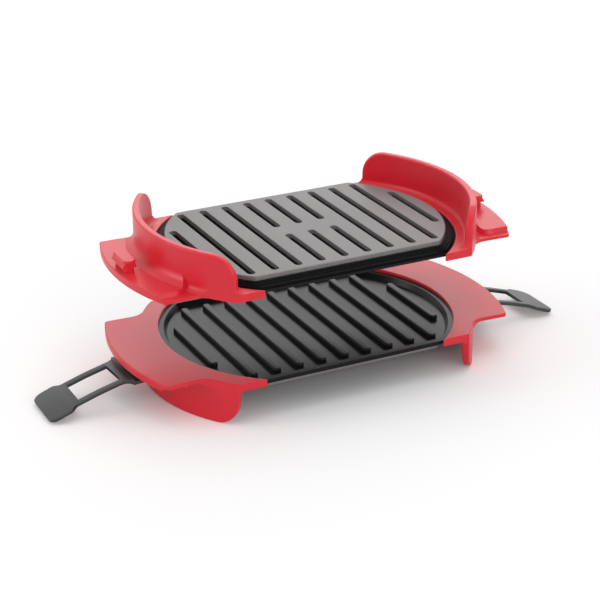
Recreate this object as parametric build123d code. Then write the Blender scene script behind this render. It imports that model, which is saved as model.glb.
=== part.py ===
"""A two-sided ribbed grill for a microwave oven, with its upper half held above the lower one.

Both halves are built the same way, in a frame of their own: z = 0 is the face where the halves meet,
and +z runs outwards, away from the food. A half is then turned over, or lifted, to its place.
All sizes are millimetres and all angles are degrees.
"""
from build123d import *
import math
import os

# Plan of the plate: a rectangle whose ends are arcs, each centred this far from the middle.
end_shift = 6.0
pad_end_radius = 91.3
pad_half_width = 66.8
pad_corner_radius = 4.5

# The heat pad on the outside of the plate.
pad_thickness = 3.0
pad_edge_round = 0.6

# The plate's outer side: two narrow ledges round the pad, then a wall down to a flat rim.
upper_ledge_width = 2.1
lower_ledge_width = 1.5
wall_ledge_width = 1.4
ledge_drop = 1.0
floor_thickness = 2.0
pan_depth = 3.8
pan_wall_thickness = 1.6
pan_wall_slope = 2.2
rim_front_width = 2.5
rim_thickness = 1.6

# Ribs on the food side, with a slot through the pad behind each one.
rib_pitch = 17.0
rib_count = 11
rib_width = 5.6
rib_height = 3.2
rib_edge_round = 1.1
rib_end_margin = 5.1
short_rib_half_length = 34.3
groove_width = 3.2
groove_depth = 3.4
split_rib_count = 3
bare_patch_half_width = 7.5

# The silicone grips: a flange round the plate's end, a curved wall, and a pad for the hand.
core_cover = 0.7
core_thickness = 1.5
rim_cover = 1.6
rim_lap = 5.7
grip_gap = 2.0
grip_side_margin = 3.1
grip_ledge = 8.3
wall_base_thickness = 5.6
wall_top_thickness = 5.0
wall_reach = 30.6
wall_end_round = 17.0
wall_end_setback = 0.15
wall_foot_cove = 5.5
wall_edge_round = 1.3
inner_cove = 4.0
outer_cove = 8.0
lip_cove = 5.0
hand_pad_reach = 22.1
hand_pad_root_half_width = 57.8
hand_pad_flare = 1.7
hand_pad_root_depth = 26.0
hand_pad_arc_radius = 154.7
hand_pad_corner_round = 2.5
hand_pad_blend_share = 0.7
hand_pad_lip = 2.4
hill_border = 5.5
hill_bevel = 1.6
hill_run_out = 6.5
hill_turn_from_wall = 3.2
hill_turn_round = 8.0
hill_turn_length = 12.0
hill_edge_round = 1.0
flange_edge_round = 0.8
slab_inset = 0.3

# The stiffening core inside each grip and the rivets that fix it to the rim.
core_margin = 1.2
core_side_margin = 8.0
core_end_margin = 8.0
pocket_gap = 0.1
rivet_radius = 1.5
rivet_head_radius = 2.6
rivet_head_height = 0.8
rivet_angles = (-36.0, -13.0, 13.0, 36.0)

# The mushroom lug on each upper grip.
lug_length = 8.9
lug_width = 23.4
lug_corner_round = 3.4
lug_overhang = 1.1
lug_lip_level = 9.0
lug_lip_reach = 0.8
lug_lip_edge = 0.6
lug_head_level = 12.4
lug_head_height = 1.8
lug_head_round = 0.7
lug_from_wall = 14.4

# The straps under the lower grips.
strap_thickness = 3.0
strap_width = 33.0
strap_window_width = 24.0
strap_gap = 0.3
strap_edge_gap = 0.7
strap_joint_gap = 0.15
strap_root_drop = 11.3
strap_root_flare = 44.0
strap_flare_length = 3.5
loop_length = 17.5
loop_bar_length = 3.9
tab_width = 40.0
tab_length = 20.5
tab_neck_length = 6.0
tab_corner_round = 6.5
band_slope = -14.0
loop_slope = -17.5
tab_slope = -20.0
fold_half_angle = 46.5
rest_half_angle = 8.0

# The pin that holds each strap, between two ears under the hand pad.
pin_radius = 1.5
pin_clearance = 0.15
eye_wall = 1.6
pin_from_wall = 6.5
eye_inset = 1.0
ear_thickness = 4.0
ear_gap = 0.3
ear_wall = 2.0

# How far apart the halves are held, and how close they come when shut.
lift = 57.5
closed_gap = 0.3

# Levels, radii and lengths that follow from the sizes above.
long_rib_half_length = pad_half_width - rib_end_margin
hand_pad_half_width = hand_pad_root_half_width + hand_pad_flare
rim_level = core_cover + core_thickness
flange_thickness = rim_level + rim_thickness + rim_cover
floor_level = rim_level + pan_depth
pad_level = floor_level + floor_thickness
pad_top = pad_level + pad_thickness
step_total = upper_ledge_width + lower_ledge_width + wall_ledge_width
wall_end_radius = pad_end_radius + step_total
wall_half_width = pad_half_width + step_total
grip_inner_radius = wall_end_radius + grip_gap
rim_end_radius = grip_inner_radius + rim_lap
rim_half_width = wall_half_width + rim_front_width
grip_half_width = rim_half_width + grip_side_margin
leg_inner_radius = grip_inner_radius + grip_ledge
leg_outer_radius = leg_inner_radius + wall_base_thickness
leg_face_x = end_shift + leg_outer_radius
hand_pad_tip = leg_face_x + hand_pad_reach
hand_pad_blend = hand_pad_blend_share * (grip_half_width - hand_pad_root_half_width)
wall_end_angle = math.degrees(math.asin((grip_half_width - wall_end_setback) / leg_outer_radius))
pad_face = flange_thickness - slab_inset
lug_x = leg_face_x + lug_from_wall
table_drop = wall_reach

# Strap flex lines, for the right strap: x outwards, z from the face where the halves meet.
flex_a = (hand_pad_tip + strap_edge_gap + strap_thickness / 2, -strap_root_drop)
fold_level = closed_gap + flange_thickness + strap_gap + strap_thickness / 2
band_length = fold_level + strap_root_drop


def along(start, slope, length):
    """The point that lies a length away from start, at a slope in the x-z plane."""
    turn = math.radians(slope)
    return (start[0] + length * math.cos(turn), start[1] + length * math.sin(turn))


flex_b = along(flex_a, band_slope, band_length)
flex_c = along(flex_b, loop_slope, loop_length)
pin_x = leg_face_x + pin_from_wall


def boat(end_radius, half_width, corner):
    """A plan with two straight sides, two round ends and four rounded corners."""
    capsule = SlotCenterToCenter(2 * end_shift, 2 * end_radius)
    plan = capsule & Rectangle(4 * end_radius, 2 * half_width)
    return fillet(plan.vertices(), corner)


def layer(end_radius, half_width, corner, low, high):
    """A flat layer of the plate, from one level out to another."""
    return Pos(0, 0, low) * extrude(boat(end_radius, half_width, corner), high - low)


def long_hole(x, y_low, y_high, width, low, high):
    """A round-ended bar that lies along y."""
    length = y_high - y_low - width
    bar = SlotCenterToCenter(length, width)
    place = Pos(x, (y_low + y_high) / 2, low) * Rot(0, 0, 90)
    return place * extrude(bar, high - low)


def rib_places():
    """The step from the middle, the x place and the half length of each rib."""
    outermost = rib_count // 2
    for step in range(-outermost, outermost + 1):
        short = abs(step) == outermost
        yield step, step * rib_pitch, short_rib_half_length if short else long_rib_half_length


def slots(width, low, high, split):
    """The row of slots behind the ribs, the middle ones split where split is true."""
    bars = []
    for step, x, reach in rib_places():
        if split and abs(step) <= split_rib_count // 2:
            bars.append(long_hole(x, -reach, -bare_patch_half_width, width, low, high))
            bars.append(long_hole(x, bare_patch_half_width, reach, width, low, high))
        else:
            bars.append(long_hole(x, -reach, reach, width, low, high))
    return bars


def heat_pad(split):
    """The grey pad that soaks up the microwaves."""
    pad = layer(pad_end_radius, pad_half_width, pad_corner_radius, pad_level, pad_top)
    pad = fillet(pad.faces().sort_by(Axis.Z)[-1].edges(), pad_edge_round)
    return pad - slots(rib_width, pad_level - 1, pad_top + 1, split)


def rib(x, reach):
    """One rib on the food side, with its long edges and ends eased."""
    top = floor_level - rib_height
    bar = long_hole(x, -reach, reach, rib_width, top, floor_level)
    return fillet(bar.faces().sort_by(Axis.Z)[0].edges(), rib_edge_round)


def plate(split):
    """The ribbed aluminium plate: floor, ledges, wall and rim."""
    corner = pad_corner_radius
    first = upper_ledge_width
    second = first + lower_ledge_width
    body = layer(pad_end_radius + first, pad_half_width + first, corner + first, rim_level, pad_level)
    body += layer(
        pad_end_radius + second, pad_half_width + second, corner + second, rim_level, pad_level - ledge_drop
    )
    body += layer(
        wall_end_radius, wall_half_width, corner + step_total, rim_level, pad_level - 2 * ledge_drop
    )
    body += layer(rim_end_radius, rim_half_width, corner, rim_level, rim_level + rim_thickness)
    mouth_radius = wall_end_radius - pan_wall_thickness
    mouth_half_width = wall_half_width - pan_wall_thickness
    mouth = boat(mouth_radius, mouth_half_width, corner)
    floor = boat(mouth_radius - pan_wall_slope, mouth_half_width - pan_wall_slope, corner)
    hollow = loft([Pos(0, 0, rim_level) * mouth, Pos(0, 0, floor_level) * floor], ruled=True)
    body -= hollow
    for _, x, reach in rib_places():
        body += rib(x, reach)
    holes = [place * rivet() for place in rivet_places()]
    holes += [mirror(hole, about=Plane.YZ) for hole in holes]
    return body - slots(groove_width, pad_level - groove_depth, pad_level + 1, split) - holes


def hand_pad_plan(border):
    """Plan of the hand pad, run back inside the wall, and drawn in on every side by a border."""
    radius = hand_pad_arc_radius - border
    corner_y = hand_pad_half_width - border
    corner_x = hand_pad_tip - hand_pad_arc_radius + math.sqrt(radius ** 2 - corner_y ** 2)
    root_x = leg_face_x - hand_pad_root_depth
    root_y = hand_pad_root_half_width - border
    sides = Polyline((corner_x, corner_y), (root_x, root_y), (root_x, -root_y), (corner_x, -corner_y))
    end = ThreePointArc((corner_x, -corner_y), (hand_pad_tip - border, 0), (corner_x, corner_y))
    return make_face(Curve() + [sides, end])


def flange_plan():
    """Plan of the whole flange: its crescent stops just inside the wall's own."""
    crescent_radius = leg_outer_radius - slab_inset
    crescent_half_width = grip_half_width - flange_edge_round - slab_inset
    crescent = Pos(end_shift, 0) * Circle(crescent_radius)
    crescent &= Pos(2 * leg_outer_radius, 0) * Rectangle(4 * leg_outer_radius, 2 * crescent_half_width)
    plan = crescent + hand_pad_plan(0)
    plan = fillet(plan.vertices().sort_by(Axis.X)[-2:], hand_pad_corner_round)
    notches = plan.vertices().filter_by(
        lambda v: abs(math.hypot(v.X - end_shift, v.Y) - crescent_radius) < 0.05
        and abs(v.Y) < crescent_half_width - slab_inset
    )
    return fillet(notches, hand_pad_blend)


def ring(section):
    """Turns a section in radius and level about the end arc's own axis."""
    return Pos(end_shift, 0, 0) * revolve(Plane.XZ * section, Axis.Z, 360)


def wall_section():
    """Flange and wall in section."""
    top_inner = leg_outer_radius - wall_top_thickness
    outline = Polyline(
        (grip_inner_radius, 0),
        (leg_outer_radius, 0),
        (leg_outer_radius, wall_reach),
        (top_inner, wall_reach),
        (leg_inner_radius, flange_thickness),
        (grip_inner_radius, flange_thickness),
        close=True,
    )
    section = make_face(outline)
    lips = section.vertices().filter_by(
        lambda v: abs(v.X - grip_inner_radius) < 0.01 or abs(v.X - leg_outer_radius) < 0.01 and v.Y < 0.01
    )
    return fillet(lips, flange_edge_round)


def cove_section(face_radius, outwards, level, cove):
    """A cove in the corner of the wall and a level face, on the wall's outer or inner side."""
    block = Pos(face_radius + outwards * (cove - 1) / 2, level + cove / 2) * Rectangle(cove + 1, cove)
    return block - Pos(face_radius + outwards * cove, level + cove) * Circle(cove)


def wall_end_cut():
    """What a full turn keeps: the flange to its ends, and a wall whose end faces stand square to it."""
    low = Pos(leg_outer_radius, 0, flange_thickness / 2) * Box(
        2 * leg_outer_radius, 2 * grip_half_width, flange_thickness
    )
    reach = Pos(leg_outer_radius, 0, 0) * Box(2 * leg_outer_radius, 2 * grip_half_width, 2 * wall_reach)
    return low + (wall_span() & reach)


def wall_span():
    """The space between the wall's two end faces: free corners rounded off, a cove at each foot."""
    length = 2 * leg_outer_radius
    outline = Pos(length / 2, 0) * Rectangle(length, 2 * wall_reach)
    outline = fillet(outline.vertices().sort_by(Axis.X)[:2], wall_end_round)
    outline += cove_section(0, -1, pad_face, wall_foot_cove)
    front = Pos(end_shift, 0) * Rot(0, 0, -wall_end_angle) * extrude(Plane.YZ * outline, length)
    return front & mirror(front, about=Plane.XZ)


def wall_edges(wall):
    """The edges that bound the wall's outer and inner faces, above the flange."""
    taper = (leg_inner_radius - leg_outer_radius + wall_top_thickness) / (wall_reach - flange_thickness)

    def on_face(edge):
        middle = edge @ 0.5
        if middle.Z < flange_thickness + 0.1:
            return False
        radius = math.hypot(middle.X - end_shift, middle.Y)
        inner = leg_inner_radius - taper * (middle.Z - flange_thickness)
        return abs(radius - leg_outer_radius) < 0.01 or abs(radius - inner) < 0.01

    return wall.edges().filter_by(on_face)


def hill_plan(spread):
    """Plan of the hand pad's raised middle: its sides turn in to the wall. Spread widens it."""
    side = hand_pad_root_half_width - hill_border + spread
    turn = leg_face_x - hill_turn_from_wall + spread * math.tan(math.radians(22.5))
    far = hand_pad_tip + 2 * hill_border
    root = (turn - hill_turn_length, side - hill_turn_length)
    plan = make_face(
        Polyline(
            (far, -side), (far, side), (turn, side), root, (root[0], -root[1]), (turn, -side), close=True
        )
    )
    turns = plan.vertices().filter_by(lambda v: abs(v.X - turn) < 0.01)
    return fillet(turns, hill_turn_round + spread)


def hill():
    """The space of the hand pad's raised middle, above its lip."""
    low = Pos(0, 0, hand_pad_lip) * hill_plan(hill_bevel)
    slope = hill_bevel / (flange_thickness - hand_pad_lip)
    return loft([low, Pos(0, 0, 2 * flange_thickness) * hill_plan(-slope * flange_thickness)], ruled=True)


def cove_reach():
    """The space that the cove over the raised middle may fill: it runs out at both ends."""
    low = Pos(0, 0, pad_face) * hill_plan(0)
    return loft([low, Pos(0, 0, pad_face + outer_cove) * hill_plan(-hill_run_out)], ruled=True)


def hand_pad_slab(plan):
    """The flange outside the wall, with the hand pad's middle raised above its front and back lips."""
    opening = Pos(end_shift, 0) * Circle(leg_outer_radius - wall_top_thickness)
    slab = extrude(plan - opening, flange_thickness)
    rims = slab.edges().filter_by(
        lambda e: math.hypot((e @ 0.5).X - end_shift, (e @ 0.5).Y) > leg_outer_radius - 2 * slab_inset
        and abs((e @ 0).Z - (e @ 1).Z) < 0.01
    )
    slab = fillet(rims, flange_edge_round)
    cap = Pos(leg_face_x, 0, hand_pad_lip + flange_thickness / 2) * Box(
        2 * leg_face_x, 4 * hand_pad_half_width, flange_thickness
    )
    slab -= cap - hill()
    return fillet(crest_edges(slab), hill_edge_round)


def crest_edges(slab):
    """The top edges of the hand pad's raised middle, from its end in to the wall."""

    def on_crest(edge):
        middle = edge @ 0.5
        levels = [(edge @ share).Z for share in (0, 0.5, 1)]
        return (
            max(abs(level - flange_thickness) for level in levels) < 0.02
            and abs(middle.Y) < hand_pad_root_half_width - hill_border + slab_inset
            and math.hypot(middle.X - end_shift, middle.Y) > leg_outer_radius - wall_top_thickness + 0.1
            and middle.X < hand_pad_tip - 2 * flange_edge_round
        )

    return slab.edges().filter_by(on_crest)


def grip_shell():
    """A right-hand grip, before its pockets, ears or lug."""
    plan = flange_plan()
    slab = hand_pad_slab(plan)
    wall = ring(wall_section()) & wall_end_cut()
    wall = fillet(wall_edges(wall), wall_edge_round)
    inner = ring(cove_section(leg_inner_radius, -1, pad_face, inner_cove)) & wall_span()
    outer = ring(cove_section(leg_outer_radius, 1, pad_face, outer_cove)) & cove_reach()
    lip = ring(cove_section(leg_outer_radius, 1, hand_pad_lip, lip_cove)) & extrude(plan, wall_reach)
    return slab + wall + inner + outer + lip


def core_plan():
    """Plan of the stiffening core: it laps the rim and runs out into the hand pad."""
    inner = grip_inner_radius + core_margin
    outer = leg_outer_radius - core_margin
    band = Pos(end_shift, 0) * (Circle(outer) - Circle(inner))
    band &= Pos(2 * leg_outer_radius, 0) * Rectangle(
        4 * leg_outer_radius, 2 * (grip_half_width - core_side_margin)
    )
    tip = hand_pad_tip - core_end_margin
    tongue_root = end_shift + inner + core_margin
    tongue = Pos((tongue_root + tip) / 2, 0) * Rectangle(
        tip - tongue_root, 2 * (hand_pad_root_half_width - hill_border - core_side_margin)
    )
    tongue = fillet(tongue.vertices().sort_by(Axis.X)[-2:], core_side_margin)
    return band + tongue


def core():
    """The nylon core, with its rivet holes."""
    body = Pos(0, 0, core_cover) * extrude(core_plan(), core_thickness)
    for place in rivet_places():
        body -= place * Pos(0, 0, core_cover) * Cylinder(
            rivet_radius, core_thickness, align=(Align.CENTER, Align.CENTER, Align.MIN)
        )
    return body


def rivet_places():
    """Where the rivets stand, midway across the lap of core and rim."""
    middle = (grip_inner_radius + core_margin + rim_end_radius) / 2
    for angle in rivet_angles:
        turn = math.radians(angle)
        yield Pos(end_shift + middle * math.cos(turn), middle * math.sin(turn), 0)


def rivet():
    """One rivet: a shank flush with the core and a flat head on the rim."""
    low = (Align.CENTER, Align.CENTER, Align.MIN)
    shank_length = core_thickness + rim_thickness
    shank = Pos(0, 0, core_cover) * Cylinder(rivet_radius, shank_length, align=low)
    head = Pos(0, 0, core_cover + shank_length) * Cylinder(rivet_head_radius, rivet_head_height, align=low)
    return shank + head


def pockets():
    """The space that the rim, the core and the rivet heads take up inside a grip."""
    rim = layer(
        rim_end_radius + pocket_gap,
        rim_half_width + pocket_gap,
        pad_corner_radius,
        rim_level,
        rim_level + rim_thickness,
    )
    space = Pos(0, 0, core_cover) * extrude(offset(core_plan(), pocket_gap), core_thickness)
    space += rim
    head_level = rim_level + rim_thickness
    for place in rivet_places():
        space += place * Pos(0, 0, head_level) * Cylinder(
            rivet_head_radius + pocket_gap,
            rivet_head_height,
            align=(Align.CENTER, Align.CENTER, Align.MIN),
        )
    return space


def lug_outline(inset):
    """Plan of the lug's head, drawn in on every side by an inset."""
    outline = Rectangle(lug_length - 2 * inset, lug_width - 2 * inset)
    return Pos(lug_x, 0) * fillet(outline.vertices(), lug_corner_round - inset)


def lug_lips():
    """The two lips below the head that the strap's end bar catches on, sloped above, flat below."""
    stem = lug_length / 2 - lug_overhang
    inner = lug_length / 2
    outer = inner + lug_lip_reach
    section = make_face(
        Polyline(
            (lug_x - stem, lug_head_level),
            (lug_x + stem, lug_head_level),
            (lug_x + outer, lug_lip_level + lug_lip_edge),
            (lug_x + outer, lug_lip_level),
            (lug_x - inner, lug_lip_level),
            (lug_x - inner, lug_lip_level + lug_lip_edge),
            close=True,
        )
    )
    return extrude(Plane.XZ * section, lug_width / 2 - lug_overhang, both=True)


def lug():
    """The lug that a strap hooks over: a flat rounded head, two lips and a narrower stem."""
    stem = Pos(0, 0, pad_face) * extrude(lug_outline(lug_overhang), lug_head_level - pad_face)
    head = Pos(0, 0, lug_head_level) * extrude(lug_outline(0), lug_head_height)
    head = fillet(head.faces().sort_by(Axis.Z)[-1].edges(), lug_head_round)
    return stem + lug_lips() + head


def ears():
    """The two ears under a hand pad, drilled for the strap's pin."""
    inner = strap_root_flare / 2 - eye_inset + ear_gap
    pin_level = strap_root_drop
    reach = pin_radius + ear_wall
    pair = []
    for side in (-1, 1):
        tall = pin_level - pad_face
        block = Pos(pin_x, 0, pad_face + tall / 2) * Box(2 * reach, ear_thickness, tall)
        nose = Pos(pin_x, 0, pin_level) * Rot(90, 0, 0) * Cylinder(reach, ear_thickness)
        hole = Pos(pin_x, 0, pin_level) * Rot(90, 0, 0) * Cylinder(pin_radius, 2 * ear_thickness)
        pair.append(Pos(0, side * (inner + ear_thickness / 2), 0) * (block + nose - hole))
    return pair


def strap_pin():
    """The rod between the ears, through the eye of the strap."""
    length = 2 * (strap_root_flare / 2 - eye_inset + ear_gap + ear_thickness)
    return Pos(pin_x, 0, -strap_root_drop) * Rot(90, 0, 0) * Cylinder(pin_radius, length)


def strap_bar(
    start, slope, length, up_angle, down_angle, far_up, far_down, width, near_cut=True, far_cut=True
):
    """A strip of strap between two flex lines, its ends bevelled so that it can fold."""
    half = strap_thickness / 2
    near = strap_joint_gap if near_cut else 0
    far = length - strap_joint_gap if far_cut else length
    up = math.tan(math.radians(up_angle)) * half if near_cut else 0
    down = math.tan(math.radians(down_angle)) * half if near_cut else 0
    up_end = math.tan(math.radians(far_up)) * half if far_cut else 0
    down_end = math.tan(math.radians(far_down)) * half if far_cut else 0
    outline = Polyline(
        (near, 0),
        (near + up, half),
        (far - up_end, half),
        (far, 0),
        (far - down_end, -half),
        (near + down, -half),
        close=True,
    )
    strip = extrude(Plane.XZ * make_face(outline), width / 2, both=True)
    return Pos(start[0], 0, start[1]) * Rot(0, -slope, 0) * strip


def window(start, slope, low, high):
    """The open space between a strap's side bars, from one length along the strap to another."""
    block = Pos((low + high) / 2, 0, 0) * Box(high - low, strap_window_width, 4 * strap_thickness)
    return Pos(start[0], 0, start[1]) * Rot(0, -slope, 0) * block


def strap_root():
    """The fixed root of a strap: an eye round the pin and a short flared tongue."""
    level = -strap_root_drop
    length = flex_a[0] - pin_x
    tongue = strap_bar(
        (pin_x, level), 0, length, 0, 0, fold_half_angle, rest_half_angle, strap_root_flare, near_cut=False
    )
    eye_width = strap_root_flare - 2 * eye_inset
    plan = make_face(
        Polyline(
            (pin_x - pin_radius, -eye_width / 2),
            (pin_x + pin_radius + ear_wall + ear_gap, -eye_width / 2),
            (flex_a[0] - strap_flare_length, -strap_root_flare / 2),
            (flex_a[0], -strap_width / 2),
            (flex_a[0], strap_width / 2),
            (flex_a[0] - strap_flare_length, strap_root_flare / 2),
            (pin_x + pin_radius + ear_wall + ear_gap, eye_width / 2),
            (pin_x - pin_radius, eye_width / 2),
            close=True,
        )
    )
    tongue &= Pos(0, 0, level - strap_thickness) * extrude(plan, 2 * strap_thickness)
    place = Pos(pin_x, 0, level) * Rot(90, 0, 0)
    eye = place * Cylinder(pin_radius + pin_clearance + eye_wall, eye_width)
    return tongue + eye - place * Cylinder(pin_radius + pin_clearance, 2 * eye_width)


def strap_band():
    """The two side bars between the first and the second flex line."""
    bars = strap_bar(
        flex_a, band_slope, band_length,
        fold_half_angle, rest_half_angle, fold_half_angle, rest_half_angle, strap_width,
    )
    return bars - window(flex_a, band_slope, -1, band_length + 1)


def strap_loop():
    """The end of the window: two side bars and the cross bar that hooks behind the lug."""
    bars = strap_bar(
        flex_b, loop_slope, loop_length,
        fold_half_angle, rest_half_angle, rest_half_angle, fold_half_angle, strap_width,
    )
    return bars - window(flex_b, loop_slope, -1, loop_length - loop_bar_length)


def strap_tab():
    """The wide tab at the strap's end, for the fingers."""
    blank = strap_bar(
        flex_c, tab_slope, tab_length,
        rest_half_angle, fold_half_angle, 0, 0, tab_width, far_cut=False,
    )
    plan = make_face(
        Polyline(
            (0, -strap_width / 2),
            (tab_neck_length, -tab_width / 2),
            (tab_length, -tab_width / 2),
            (tab_length, tab_width / 2),
            (tab_neck_length, tab_width / 2),
            (0, strap_width / 2),
            close=True,
        )
    )
    plan = fillet(plan.vertices().filter_by(lambda v: v.X > tab_length - 0.01), tab_corner_round)
    trim = Pos(0, 0, -2 * strap_thickness) * extrude(plan, 4 * strap_thickness)
    return blank & (Pos(flex_c[0], 0, flex_c[1]) * Rot(0, -tab_slope, 0) * trim)


def on_right(piece):
    """A piece of the lower half that is made in place already, on the right."""
    return Pos(0, 0, table_drop) * piece


def on_left(piece):
    """The same piece on the left."""
    return mirror(on_right(piece), about=Plane.YZ)


def turned_over(piece):
    """Turns a piece of a half over, so that its outside faces down."""
    return mirror(piece, about=Plane.XY)


def lifted(piece):
    """Puts a piece of the upper half where it is held, above the lower half."""
    return Pos(0, 0, table_drop + lift) * piece


def lower_half():
    """Every piece of the lower half, by node name."""
    grip = grip_shell() - pockets() + ears()
    rivets = Compound([place * rivet() for place in rivet_places()])
    pieces = {"lower_plate": on_right(turned_over(plate(split=False)))}
    pieces["lower_heat_pad"] = on_right(turned_over(heat_pad(split=False)))
    for name, piece in (("grip", grip), ("core", core()), ("rivets", rivets)):
        pieces[f"lower_{name}_left"] = on_left(turned_over(piece))
        pieces[f"lower_{name}_right"] = on_right(turned_over(piece))
    for side, place in (("left", on_left), ("right", on_right)):
        pieces[f"strap_{side}_root"] = place(strap_root())
        pieces[f"strap_{side}_band"] = place(strap_band())
        pieces[f"strap_{side}_loop"] = place(strap_loop())
        pieces[f"strap_{side}_tab"] = place(strap_tab())
        pieces[f"strap_pin_{side}"] = place(strap_pin())
    return pieces


def upper_half():
    """Every piece of the upper half, by node name."""
    grip = grip_shell() - pockets() + lug()
    rivets = Compound([place * rivet() for place in rivet_places()])
    pieces = {"upper_plate": lifted(plate(split=True))}
    pieces["upper_heat_pad"] = lifted(heat_pad(split=True))
    for name, piece in (("grip", grip), ("core", core()), ("rivets", rivets)):
        pieces[f"upper_{name}_left"] = lifted(mirror(piece, about=Plane.YZ))
        pieces[f"upper_{name}_right"] = lifted(piece)
    return pieces


os.makedirs("parts", exist_ok=True)
for node, solid in {**lower_half(), **upper_half()}.items():
    export_step(solid, f"parts/{node}.step")
print("flex lines of the right strap, above the table:")
for line, (x, z) in (("a", flex_a), ("b", flex_b), ("c", flex_c)):
    print(line, round(x, 3), round(z + table_drop, 3))
print("band", round(band_length, 3), "loop", round(loop_length, 3), "pin at", round(pin_x, 3))
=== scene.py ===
import math

import bmesh
import bpy
from mathutils import Matrix, Vector


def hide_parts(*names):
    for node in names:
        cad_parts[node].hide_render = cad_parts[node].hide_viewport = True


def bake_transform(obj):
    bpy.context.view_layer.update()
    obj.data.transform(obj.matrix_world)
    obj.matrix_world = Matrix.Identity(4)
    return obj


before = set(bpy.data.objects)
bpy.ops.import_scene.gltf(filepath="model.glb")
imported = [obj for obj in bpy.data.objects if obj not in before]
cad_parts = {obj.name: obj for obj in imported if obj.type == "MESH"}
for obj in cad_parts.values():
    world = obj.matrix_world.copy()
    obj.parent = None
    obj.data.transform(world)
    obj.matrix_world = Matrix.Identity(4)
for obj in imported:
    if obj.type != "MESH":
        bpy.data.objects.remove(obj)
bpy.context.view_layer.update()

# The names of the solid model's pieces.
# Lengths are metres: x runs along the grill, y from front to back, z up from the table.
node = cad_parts

# The table and the studio: a pale floor that fades to white, and four soft lamps.
# The back lamp lies low behind the grill and gives the pads and hand pads their pale sheen.
# Only the camera sees the floor's glow. It fades out in an oval round the grill, so the real shadow shows
# there and the whole oval is left darker as painted shade.
floor_white = (0.88, 0.88, 0.88, 1.0)
floor_glow = 0.19
painted_shade_oval_per_metre = (6.2, 12.5, 1.0)
glow_starts, glow_is_full = 0.55, 1.25
sky_as_light, sky_as_seen = 0.62, 1.0
lamp_aim = Vector((0, 0, 0.06))
bpy.ops.object.select_all(action="DESELECT")
bpy.ops.mesh.primitive_plane_add(size=24.0, location=(0, 0, 0))
floor = bpy.context.active_object
floor.name = "studio_floor"
floor_paint = bpy.data.materials.new("studio_floor")
floor_paint.use_nodes = True
tree = floor_paint.node_tree
tree.nodes.clear()
diffuse = tree.nodes.new("ShaderNodeBsdfDiffuse")
diffuse.inputs["Color"].default_value = floor_white
glow = tree.nodes.new("ShaderNodeEmission")
glow.inputs["Color"].default_value = (1, 1, 1, 1)
seen = tree.nodes.new("ShaderNodeLightPath")
where = tree.nodes.new("ShaderNodeTexCoord")
shade = tree.nodes.new("ShaderNodeMapping")
shade.inputs["Scale"].default_value = painted_shade_oval_per_metre
reach = tree.nodes.new("ShaderNodeVectorMath")
reach.operation = "LENGTH"
# Painted shade: the glow is nil inside the oval round the grill and full beyond it.
fade = tree.nodes.new("ShaderNodeMapRange")
fade.interpolation_type = "SMOOTHSTEP"
fade.inputs["From Min"].default_value = glow_starts
fade.inputs["From Max"].default_value = glow_is_full
fade.inputs["To Max"].default_value = floor_glow
dim = tree.nodes.new("ShaderNodeMath")
dim.operation = "MULTIPLY"
tree.links.new(where.outputs["Object"], shade.inputs["Vector"])
tree.links.new(shade.outputs[0], reach.inputs[0])
tree.links.new(reach.outputs["Value"], fade.inputs["Value"])
tree.links.new(seen.outputs["Is Camera Ray"], dim.inputs[0])
tree.links.new(fade.outputs[0], dim.inputs[1])
tree.links.new(dim.outputs[0], glow.inputs["Strength"])
both = tree.nodes.new("ShaderNodeAddShader")
tree.links.new(diffuse.outputs[0], both.inputs[0])
tree.links.new(glow.outputs[0], both.inputs[1])
out = tree.nodes.new("ShaderNodeOutputMaterial")
tree.links.new(both.outputs[0], out.inputs["Surface"])
floor.data.materials.append(floor_paint)

world = bpy.data.worlds.new("studio")
bpy.context.scene.world = world
world.use_nodes = True
tree = world.node_tree
sky = tree.nodes["Background"]
sky.inputs["Color"].default_value = (1, 1, 1, 1)
seen = tree.nodes.new("ShaderNodeLightPath")
either = tree.nodes.new("ShaderNodeMath")
either.operation = "MAXIMUM"
tree.links.new(seen.outputs["Is Camera Ray"], either.inputs[0])
tree.links.new(seen.outputs["Is Transmission Ray"], either.inputs[1])
any_seen = tree.nodes.new("ShaderNodeMath")
any_seen.operation = "MAXIMUM"
tree.links.new(either.outputs[0], any_seen.inputs[0])
tree.links.new(seen.outputs["Is Glossy Ray"], any_seen.inputs[1])
level = tree.nodes.new("ShaderNodeMapRange")
level.inputs["To Min"].default_value = sky_as_light
level.inputs["To Max"].default_value = sky_as_seen
tree.links.new(any_seen.outputs[0], level.inputs["Value"])
tree.links.new(level.outputs[0], sky.inputs["Strength"])


def soft_lamp(name, place, size, watts):
    """An area lamp that faces the grill's middle."""
    bpy.ops.object.light_add(type="AREA", location=place)
    lamp = bpy.context.active_object
    lamp.name = name
    lamp.data.shape = "RECTANGLE"
    lamp.data.size, lamp.data.size_y = size
    lamp.data.energy = watts
    aim = lamp_aim - Vector(place)
    lamp.rotation_euler = aim.to_track_quat("-Z", "Y").to_euler()


soft_lamp("back_lamp", (0.9, 1.5, 0.80), (1.6, 0.7), 4.5)
soft_lamp("top_lamp", (0.2, 0.1, 1.7), (1.6, 1.2), 6)
soft_lamp("front_lamp", (0.1, -1.8, 0.7), (1.4, 0.8), 8)
soft_lamp("left_lamp", (-1.5, 0.5, 0.6), (0.8, 0.6), 5)

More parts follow.
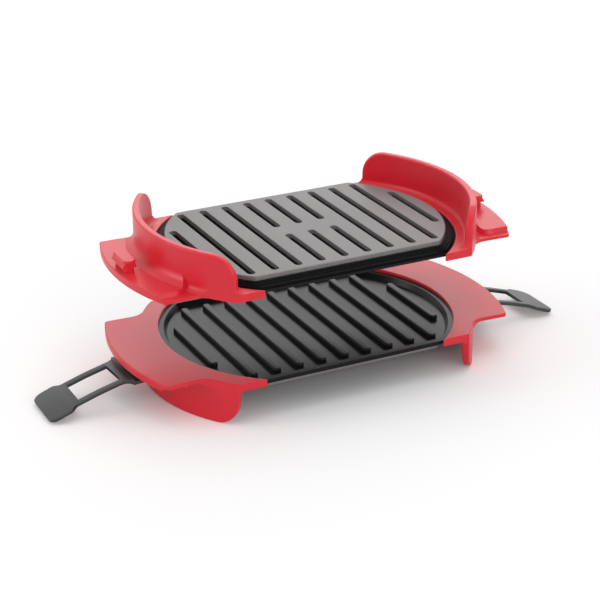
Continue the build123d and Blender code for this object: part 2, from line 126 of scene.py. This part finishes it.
# The camera: a long lens in front and to the left, a little above the grill.
# Its place was solved from the photograph's slots, rims and straps.
camera_azimuth = math.radians(-26.08)
camera_elevation = math.radians(23.84)
camera_roll = math.radians(-0.64)
camera_distance = 1.2274
camera_target = Vector((-0.0011, -0.0002, 0.0306))
backward = Vector((
    math.sin(camera_azimuth) * math.cos(camera_elevation),
    -math.cos(camera_azimuth) * math.cos(camera_elevation),
    math.sin(camera_elevation),
))
bpy.ops.object.camera_add(location=camera_target + backward * camera_distance)
camera = bpy.context.active_object
camera.rotation_mode = "QUATERNION"
turn = (-backward).to_track_quat("-Z", "Y")
camera.rotation_quaternion = turn @ Matrix.Rotation(camera_roll, 3, "Z").to_quaternion()
camera.data.lens = 104.58
camera.data.sensor_width = 36.0
camera.data.shift_x = -0.0079
camera.data.shift_y = 0.0294
camera.data.clip_start = 0.05
camera.data.clip_end = 60.0
bpy.context.scene.camera = camera
bpy.context.scene.view_settings.view_transform = "Standard"

# The ribbed plates: pressed aluminium under a black non-stick coat with a fine metallic fleck.
# One faces up and one down, and each is moulded into its two grips at the ends.


def coat_fleck():
    """Node group: scattered flecks, and a fine uneven skin, on a coated or filled surface."""
    group = bpy.data.node_groups.new("coat_fleck", "ShaderNodeTree")
    face = group.interface
    for name, kind, value in (
        ("Ground", "NodeSocketColor", (0.02, 0.02, 0.02, 1)),
        ("Light Fleck", "NodeSocketColor", (0.2, 0.2, 0.2, 1)),
        ("Dark Fleck", "NodeSocketColor", (0.0, 0.0, 0.0, 1)),
        ("Fleck Scale", "NodeSocketFloat", 900.0),
        ("Fleck Share", "NodeSocketFloat", 0.5),
        ("Roughness", "NodeSocketFloat", 0.4),
        ("Spread", "NodeSocketFloat", 0.1),
        ("Skin Depth", "NodeSocketFloat", 0.2),
    ):
        socket = face.new_socket(name, in_out="INPUT", socket_type=kind)
        socket.default_value = value
    for name, kind in (
        ("Color", "NodeSocketColor"), ("Roughness", "NodeSocketFloat"), ("Normal", "NodeSocketVector")
    ):
        face.new_socket(name, in_out="OUTPUT", socket_type=kind)
    nodes, wire = group.nodes, group.links.new
    given = nodes.new("NodeGroupInput")
    result = nodes.new("NodeGroupOutput")
    place = nodes.new("ShaderNodeTexCoord")
    grain = nodes.new("ShaderNodeTexNoise")
    grain.inputs["Detail"].default_value = 3.0
    wire(place.outputs["Object"], grain.inputs["Vector"])
    wire(given.outputs["Fleck Scale"], grain.inputs["Scale"])
    light = nodes.new("ShaderNodeMapRange")
    light.inputs["From Min"].default_value = 0.56
    light.inputs["From Max"].default_value = 0.72
    wire(grain.outputs["Fac"], light.inputs["Value"])
    wire(given.outputs["Fleck Share"], light.inputs["To Max"])
    dark = nodes.new("ShaderNodeMapRange")
    dark.inputs["From Min"].default_value = 0.44
    dark.inputs["From Max"].default_value = 0.28
    wire(grain.outputs["Fac"], dark.inputs["Value"])
    wire(given.outputs["Fleck Share"], dark.inputs["To Max"])
    first = nodes.new("ShaderNodeMix")
    first.data_type = "RGBA"
    wire(light.outputs[0], first.inputs["Factor"])
    wire(given.outputs["Ground"], first.inputs["A"])
    wire(given.outputs["Light Fleck"], first.inputs["B"])
    second = nodes.new("ShaderNodeMix")
    second.data_type = "RGBA"
    wire(dark.outputs[0], second.inputs["Factor"])
    wire(first.outputs["Result"], second.inputs["A"])
    wire(given.outputs["Dark Fleck"], second.inputs["B"])
    wire(second.outputs["Result"], result.inputs["Color"])
    patches = nodes.new("ShaderNodeTexNoise")
    patches.inputs["Scale"].default_value = 28.0
    patches.inputs["Detail"].default_value = 4.0
    wire(place.outputs["Object"], patches.inputs["Vector"])
    centred = nodes.new("ShaderNodeMath")
    centred.operation = "SUBTRACT"
    centred.inputs[1].default_value = 0.5
    wire(patches.outputs["Fac"], centred.inputs[0])
    shift = nodes.new("ShaderNodeMath")
    shift.operation = "MULTIPLY_ADD"
    wire(centred.outputs[0], shift.inputs[0])
    wire(given.outputs["Spread"], shift.inputs[1])
    wire(given.outputs["Roughness"], shift.inputs[2])
    wire(shift.outputs[0], result.inputs["Roughness"])
    skin = nodes.new("ShaderNodeBump")
    skin.inputs["Distance"].default_value = 0.0004
    wire(given.outputs["Skin Depth"], skin.inputs["Strength"])
    wire(grain.outputs["Fac"], skin.inputs["Height"])
    wire(skin.outputs["Normal"], result.inputs["Normal"])
    return group


def group_node(material, group, **values):
    """Puts a node group into a material and joins it to the material's shader."""
    tree = material.node_tree
    shader = tree.nodes["Principled BSDF"]
    placed = tree.nodes.new("ShaderNodeGroup")
    placed.node_tree = group
    for name, value in values.items():
        placed.inputs[name.replace("_", " ")].default_value = value
    tree.links.new(placed.outputs["Color"], shader.inputs["Base Color"])
    tree.links.new(placed.outputs["Roughness"], shader.inputs["Roughness"])
    tree.links.new(placed.outputs["Normal"], shader.inputs["Normal"])
    return shader


def finish_with(material, *names):
    """Gives solid-model pieces a material."""
    for name in names:
        node[name].data.materials.clear()
        node[name].data.materials.append(material)


def facing_mask():
    """Node group: 1 on faces that look up, 0 on faces that look down, and between the two on upright ones."""
    group = bpy.data.node_groups.new("facing_mask", "ShaderNodeTree")
    face = group.interface
    socket = face.new_socket("Up", in_out="INPUT", socket_type="NodeSocketFloat")
    socket.default_value = 1.0
    socket = face.new_socket("Level", in_out="INPUT", socket_type="NodeSocketFloat")
    socket.default_value = 0.5
    face.new_socket("Mask", in_out="OUTPUT", socket_type="NodeSocketFloat")
    nodes, wire = group.nodes, group.links.new
    given = nodes.new("NodeGroupInput")
    result = nodes.new("NodeGroupOutput")
    place = nodes.new("ShaderNodeTexCoord")
    parts = nodes.new("ShaderNodeSeparateXYZ")
    wire(place.outputs["Normal"], parts.inputs[0])
    turned = nodes.new("ShaderNodeMath")
    turned.operation = "MULTIPLY"
    wire(parts.outputs["Z"], turned.inputs[0])
    wire(given.outputs["Up"], turned.inputs[1])
    scaled = nodes.new("ShaderNodeMapRange")
    scaled.inputs["From Min"].default_value = -0.6
    scaled.inputs["From Max"].default_value = 0.2
    wire(turned.outputs[0], scaled.inputs["Value"])
    wire(given.outputs["Level"], scaled.inputs["To Max"])
    wire(scaled.outputs[0], result.inputs["Mask"])
    return group


fleck = coat_fleck()
facing = facing_mask()
for half, cooking_side in (("lower", 1.0), ("upper", -1.0)):
    plate_coat = bpy.data.materials.new(f"{half}_plate_coat")
    plate_coat.use_nodes = True
    shader = group_node(
        plate_coat, fleck,
        Ground=(0.008, 0.008, 0.009, 1), Light_Fleck=(0.06, 0.06, 0.064, 1),
        Dark_Fleck=(0.003, 0.003, 0.004, 1), Fleck_Scale=1500.0, Fleck_Share=0.3,
        Roughness=0.45, Spread=0.10, Skin_Depth=0.10,
    )
    shader.inputs["Specular IOR Level"].default_value = 0.03
    shader.inputs["Coat Roughness"].default_value = 0.24
    shader.inputs["Coat IOR"].default_value = 1.32
    tree = plate_coat.node_tree
    side_seen = tree.nodes.new("ShaderNodeGroup")
    side_seen.node_tree = facing
    side_seen.inputs["Up"].default_value = cooking_side
    side_seen.inputs["Level"].default_value = 0.65
    tree.links.new(side_seen.outputs["Mask"], shader.inputs["Coat Weight"])
    finish_with(plate_coat, f"{half}_plate")

# The heat pads: flat slabs of silicone filled with ferrite powder, bonded to the outer side of each plate.
# They are a warm matt grey with a fine fleck, and their slots show the dark plate below.
heat_pad_grey = bpy.data.materials.new("heat_pad_grey")
heat_pad_grey.use_nodes = True
shader = group_node(
    heat_pad_grey, fleck,
    Ground=(0.20, 0.187, 0.187, 1), Light_Fleck=(0.34, 0.32, 0.32, 1), Dark_Fleck=(0.09, 0.085, 0.085, 1),
    Fleck_Scale=1100.0, Fleck_Share=0.5, Roughness=0.42, Spread=0.10, Skin_Depth=0.2,
)
shader.inputs["Specular IOR Level"].default_value = 0.38
finish_with(heat_pad_grey, "lower_heat_pad", "upper_heat_pad")

# The cores and strap pins are black moulded nylon, and the rivets are bare aluminium.
# They lie inside the grips, where only a cut-away shows them.
core_nylon = bpy.data.materials.new("core_nylon")
core_nylon.use_nodes = True
shader = group_node(
    core_nylon, fleck,
    Ground=(0.03, 0.03, 0.03, 1), Light_Fleck=(0.06, 0.06, 0.06, 1), Dark_Fleck=(0.02, 0.02, 0.02, 1),
    Fleck_Scale=700.0, Fleck_Share=0.3, Roughness=0.5, Spread=0.1, Skin_Depth=0.1,
)
rivet_aluminium = bpy.data.materials.new("rivet_aluminium")
rivet_aluminium.use_nodes = True
shader = group_node(
    rivet_aluminium, fleck,
    Ground=(0.72, 0.72, 0.74, 1), Light_Fleck=(0.8, 0.8, 0.82, 1), Dark_Fleck=(0.6, 0.6, 0.62, 1),
    Fleck_Scale=600.0, Fleck_Share=0.3, Roughness=0.32, Spread=0.1, Skin_Depth=0.05,
)
shader.inputs["Metallic"].default_value = 1.0
for side in ("left", "right"):
    for half in ("lower", "upper"):
        finish_with(core_nylon, f"{half}_core_{side}")
        finish_with(rivet_aluminium, f"{half}_rivets_{side}")
    finish_with(core_nylon, f"strap_pin_{side}")

# The grips: red platinum silicone, moulded in one piece round each end of a plate.
# The surface is satin, a little dusty where light grazes it, and faintly see-through at thin edges.


def silicone_skin():
    """Node group: the slightly uneven colour, gloss and skin of moulded silicone."""
    group = bpy.data.node_groups.new("silicone_skin", "ShaderNodeTree")
    face = group.interface
    for name, kind, value in (
        ("Ground", "NodeSocketColor", (0.6, 0.02, 0.04, 1)),
        ("Cloud", "NodeSocketColor", (0.7, 0.06, 0.08, 1)),
        ("Cloud Scale", "NodeSocketFloat", 22.0),
        ("Cloud Share", "NodeSocketFloat", 0.3),
        ("Roughness", "NodeSocketFloat", 0.4),
        ("Spread", "NodeSocketFloat", 0.1),
        ("Skin Scale", "NodeSocketFloat", 900.0),
        ("Skin Depth", "NodeSocketFloat", 0.1),
    ):
        socket = face.new_socket(name, in_out="INPUT", socket_type=kind)
        socket.default_value = value
    for name, kind in (
        ("Color", "NodeSocketColor"), ("Roughness", "NodeSocketFloat"), ("Normal", "NodeSocketVector")
    ):
        face.new_socket(name, in_out="OUTPUT", socket_type=kind)
    nodes, wire = group.nodes, group.links.new
    given = nodes.new("NodeGroupInput")
    result = nodes.new("NodeGroupOutput")
    place = nodes.new("ShaderNodeTexCoord")
    cloud = nodes.new("ShaderNodeTexNoise")
    cloud.inputs["Detail"].default_value = 3.0
    wire(place.outputs["Object"], cloud.inputs["Vector"])
    wire(given.outputs["Cloud Scale"], cloud.inputs["Scale"])
    share = nodes.new("ShaderNodeMath")
    share.operation = "MULTIPLY"
    wire(cloud.outputs["Fac"], share.inputs[0])
    wire(given.outputs["Cloud Share"], share.inputs[1])
    mix = nodes.new("ShaderNodeMix")
    mix.data_type = "RGBA"
    wire(share.outputs[0], mix.inputs["Factor"])
    wire(given.outputs["Ground"], mix.inputs["A"])
    wire(given.outputs["Cloud"], mix.inputs["B"])
    wire(mix.outputs["Result"], result.inputs["Color"])
    centred = nodes.new("ShaderNodeMath")
    centred.operation = "SUBTRACT"
    centred.inputs[1].default_value = 0.5
    wire(cloud.outputs["Fac"], centred.inputs[0])
    shift = nodes.new("ShaderNodeMath")
    shift.operation = "MULTIPLY_ADD"
    wire(centred.outputs[0], shift.inputs[0])
    wire(given.outputs["Spread"], shift.inputs[1])
    wire(given.outputs["Roughness"], shift.inputs[2])
    wire(shift.outputs[0], result.inputs["Roughness"])
    skin = nodes.new("ShaderNodeTexNoise")
    skin.inputs["Detail"].default_value = 2.0
    wire(place.outputs["Object"], skin.inputs["Vector"])
    wire(given.outputs["Skin Scale"], skin.inputs["Scale"])
    bump = nodes.new("ShaderNodeBump")
    bump.inputs["Distance"].default_value = 0.0003
    wire(given.outputs["Skin Depth"], bump.inputs["Strength"])
    wire(skin.outputs["Fac"], bump.inputs["Height"])
    wire(bump.outputs["Normal"], result.inputs["Normal"])
    return group


silicone = silicone_skin()
grip_red = bpy.data.materials.new("grip_red")
grip_red.use_nodes = True
shader = group_node(
    grip_red, silicone,
    Ground=(0.69, 0.010, 0.025, 1), Cloud=(0.77, 0.025, 0.047, 1), Cloud_Scale=24.0, Cloud_Share=0.5,
    Roughness=0.34, Spread=0.12, Skin_Scale=1300.0, Skin_Depth=0.10,
)
shader.inputs["Specular IOR Level"].default_value = 0.42
shader.inputs["Subsurface Weight"].default_value = 0.12
shader.inputs["Subsurface Radius"].default_value = (0.004, 0.0012, 0.001)
shader.inputs["Subsurface Scale"].default_value = 1.0
shader.inputs["Sheen Weight"].default_value = 0.10
shader.inputs["Sheen Roughness"].default_value = 0.4
for side in ("left", "right"):
    finish_with(grip_red, f"lower_grip_{side}", f"upper_grip_{side}")

# The closing straps: one strip of dark grey silicone rubber on each side, moulded in one piece.
# It has a window that hooks over the lug, a wide pull tab, and an eye round the pin under the hand pad.
# It is laid out flat, given its thickness and window, bent from the tab inwards, and cut between its
# flex lines. The flex lines a, b and c are those of the solid model; flat ones are measured unbent.
strap_grey = bpy.data.materials.new("strap_grey")
strap_grey.use_nodes = True
shader = group_node(
    strap_grey, silicone,
    Ground=(0.013, 0.014, 0.016, 1), Cloud=(0.024, 0.025, 0.028, 1), Cloud_Scale=60.0, Cloud_Share=0.5,
    Roughness=0.38, Spread=0.10, Skin_Scale=1500.0, Skin_Depth=0.10,
)
shader.inputs["Specular IOR Level"].default_value = 0.8

strap_thickness = 0.0027
strap_half_width = 0.0165
strap_level = 0.0193
pin_x = 0.1247
eye_radius = 0.00325
eye_hole_radius = 0.00165
eye_width = 0.042
flex_a = Vector((0.142500, 0, 0.019300))
flex_b = Vector((0.160742, 0, 0.014752))
flex_c = Vector((0.177432, 0, 0.009490))
flat_a, flat_b, flat_c, flat_tip = 0.1425, 0.1613, 0.1788, 0.1993
window_start, window_end, window_half_width = 0.1441, 0.1755, 0.012
window_root_round, window_end_round = 0.0032, 0.0012
long_reach, tab_reach = 0.006, 0.0032
tongue_start, tongue_end, tongue_half_width = 0.1265, 0.1300, 0.021
bars_end, tab_bend, station_step = 0.1774, 0.1920, 0.001


def strap_outline():
    """Stations along the flat strap: the distance from the grill's middle, and half the width there."""
    root_edge, root_half, flare = 0.1385, 0.022, 0.0075
    stations = [(tongue_start, tongue_half_width), (tongue_end, tongue_half_width), (root_edge, root_half)]
    for step in range(1, 7):
        turn = math.radians(15 * step)
        drop = (root_half - strap_half_width) * math.sin(turn)
        stations.append((root_edge + flare * (1 - math.cos(turn)), root_half - drop))
    while stations[-1][0] < bars_end:
        stations.append((stations[-1][0] + station_step, strap_half_width))
    tab_half, corner = 0.020, 0.0065
    neck_start, neck_length = stations[-1][0], 0.0060
    for step in range(1, 9):
        share = step / 8
        widened = (tab_half - strap_half_width) * share * share * (3 - 2 * share)
        stations.append((neck_start + neck_length * share, strap_half_width + widened))
    while stations[-1][0] < flat_tip - corner - 0.0012:
        stations.append((stations[-1][0] + station_step, tab_half))
    for step in range(7):
        turn = math.radians(15 * step)
        back, inwards = corner * (1 - math.sin(turn)), corner * (1 - math.cos(turn))
        stations.append((flat_tip - back, tab_half - inwards))
    return stations


def select_beyond(obj, distance):
    """In edit mode, selects the vertices that lie further out than a distance."""
    bpy.ops.mesh.select_all(action="DESELECT")
    shape = bmesh.from_edit_mesh(obj.data)
    for vertex in shape.verts:
        vertex.select = vertex.co.x > distance
    shape.select_flush_mode()
    bmesh.update_edit_mesh(obj.data)


def apply_modifier(obj, kind, **values):
    """Adds a modifier with its values and applies it."""
    modifier = obj.modifiers.new(kind.lower(), kind)
    for name, value in values.items():
        setattr(modifier, name, value)
    bpy.context.view_layer.objects.active = obj
    bpy.ops.object.modifier_apply(modifier=modifier.name)


def cut_with(obj, tool, operation):
    """Joins a closed tool to a piece, or takes it away, and deletes the tool."""
    apply_modifier(obj, "BOOLEAN", object=tool, operation=operation, solver="EXACT")
    bpy.data.objects.remove(tool)


stations = strap_outline()
bpy.ops.object.select_all(action="DESELECT")
first_x, first_half = stations[0]
second_x = stations[1][0]
bpy.ops.mesh.primitive_plane_add(size=1, location=((first_x + second_x) / 2, 0, strap_level))
strip = bpy.context.active_object
strip.name = "strap_strip"
bpy.ops.transform.resize(value=(second_x - first_x, 2 * first_half, 1))
bpy.ops.object.transform_apply(location=True, rotation=True, scale=True)
bpy.ops.object.mode_set(mode="EDIT")
bpy.ops.mesh.select_mode(type="VERT")
select_beyond(strip, second_x - 1e-5)
for (near_x, near_half), (far_x, far_half) in zip(stations[1:], stations[2:]):
    bpy.ops.mesh.extrude_region_move(TRANSFORM_OT_translate={"value": (far_x - near_x, 0, 0)})
    bpy.ops.transform.resize(value=(1, far_half / near_half, 1), center_override=(0, 0, 0))
bpy.ops.mesh.select_all(action="SELECT")
bpy.ops.mesh.normals_make_consistent(inside=False)
bpy.ops.object.mode_set(mode="OBJECT")
apply_modifier(strip, "SOLIDIFY", thickness=strap_thickness, offset=0.0)

bpy.ops.object.select_all(action="DESELECT")
window_middle = (window_start + window_end) / 2
bpy.ops.mesh.primitive_cube_add(size=1, location=(window_middle, 0, strap_level))
window_tool = bpy.context.active_object
bpy.ops.transform.resize(value=(window_end - window_start, 2 * window_half_width, 3 * strap_thickness))
bpy.ops.object.transform_apply(location=True, rotation=True, scale=True)
bpy.ops.object.mode_set(mode="EDIT")
for corner_x, radius in ((window_start, window_root_round), (window_end, window_end_round)):
    bpy.ops.mesh.select_all(action="DESELECT")
    shape = bmesh.from_edit_mesh(window_tool.data)
    for edge in shape.edges:
        first, last = (end.co for end in edge.verts)
        at_corner = abs(first.x - corner_x) + abs(last.x - corner_x) < 1e-5
        edge.select = at_corner and abs(first.z - last.z) > 1e-3
    bmesh.update_edit_mesh(window_tool.data)
    bpy.ops.mesh.bevel(offset=radius, segments=5, affect="EDGES")
bpy.ops.object.mode_set(mode="OBJECT")
cut_with(strip, window_tool, "DIFFERENCE")
apply_modifier(
    strip, "BEVEL", width=0.0005, segments=3, limit_method="ANGLE", angle_limit=math.radians(50),
    use_clamp_overlap=False,
)

# Each row is a bend: the middle of its zone, half the zone's length, and the whole angle in degrees.
bpy.ops.object.mode_set(mode="EDIT")
for middle, half_zone, degrees, count in (
    (tab_bend, 0.005, 2.0, 4), (flat_c, 0.005, 2.5, 6), (flat_b, 0.006, 3.5, 6), (flat_a, 0.004, 14.0, 9)
):
    for step in reversed(range(count)):
        place = middle - half_zone + 2 * half_zone * (step + 0.5) / count
        select_beyond(strip, place)
        bpy.ops.transform.rotate(
            value=-math.radians(degrees / count), orient_axis="Y", center_override=(place, 0, strap_level)
        )
bpy.ops.object.mode_set(mode="OBJECT")

# The eye: a rod joined to the strip's root, then drilled for the pin.
for radius, depth, operation in (
    (eye_radius, eye_width, "UNION"), (eye_hole_radius, 2 * eye_width, "DIFFERENCE")
):
    bpy.ops.object.select_all(action="DESELECT")
    bpy.ops.mesh.primitive_cylinder_add(
        vertices=32, radius=radius, depth=depth, location=(pin_x, 0, strap_level),
        rotation=(math.pi / 2, 0, 0),
    )
    rod = bpy.context.active_object
    bpy.ops.object.transform_apply(location=True, rotation=True, scale=True)
    cut_with(strip, rod, operation)


def strap_piece(side, part, near_cut, far_cut):
    """One closed length of the strap, between two planes that cross it, on one side of the grill."""
    piece = strip.copy()
    piece.data = strip.data.copy()
    piece.name = f"strap_{side}_{part}_rubber"
    bpy.context.collection.objects.link(piece)
    bpy.ops.object.select_all(action="DESELECT")
    piece.select_set(True)
    bpy.context.view_layer.objects.active = piece
    bpy.ops.object.mode_set(mode="EDIT")
    bpy.ops.mesh.select_mode(type="VERT")
    for cut, outwards in ((near_cut, False), (far_cut, True)):
        if cut is None:
            continue
        place, along = cut
        bpy.ops.mesh.select_all(action="SELECT")
        bpy.ops.mesh.bisect(
            plane_co=place, plane_no=along, use_fill=True, clear_inner=not outwards, clear_outer=outwards
        )
    bpy.ops.mesh.select_all(action="SELECT")
    if side == "left":
        bpy.ops.transform.resize(value=(-1, 1, 1), center_override=(0, 0, 0))
    bpy.ops.mesh.normals_make_consistent(inside=False)
    bpy.ops.object.mode_set(mode="OBJECT")
    bpy.ops.object.shade_smooth_by_angle(angle=math.radians(40))
    piece.data.materials.clear()
    piece.data.materials.append(strap_grey)
    return piece


band_cut = ((flex_a + flex_b) / 2, (flex_b - flex_a).normalized())
loop_cut = ((flex_b + flex_c) / 2, (flex_c - flex_b).normalized())
for side, sign in (("left", -1), ("right", 1)):
    band, loop, tab = (f"{side}_strap_{length}" for length in ("band", "loop", "tab"))
    for part, cuts, bodies, flex, slope, reach_each_way, stands_for in (
        ("root", (None, band_cut), ("lower_half", band), flex_a, -7.0, long_reach, ("root",)),
        ("bars", (band_cut, loop_cut), (band, loop), flex_b, -15.8, long_reach, ("band", "loop")),
        ("tab", (loop_cut, None), (loop, tab), flex_c, -18.8, tab_reach, ("tab",)),
    ):
        piece = strap_piece(side, part, *cuts)
        reach = Vector((math.cos(math.radians(slope)), 0, math.sin(math.radians(slope)))) * reach_each_way
        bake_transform(piece)
        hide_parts(*(f"strap_{side}_{name}" for name in stands_for))
bpy.data.objects.remove(strip)
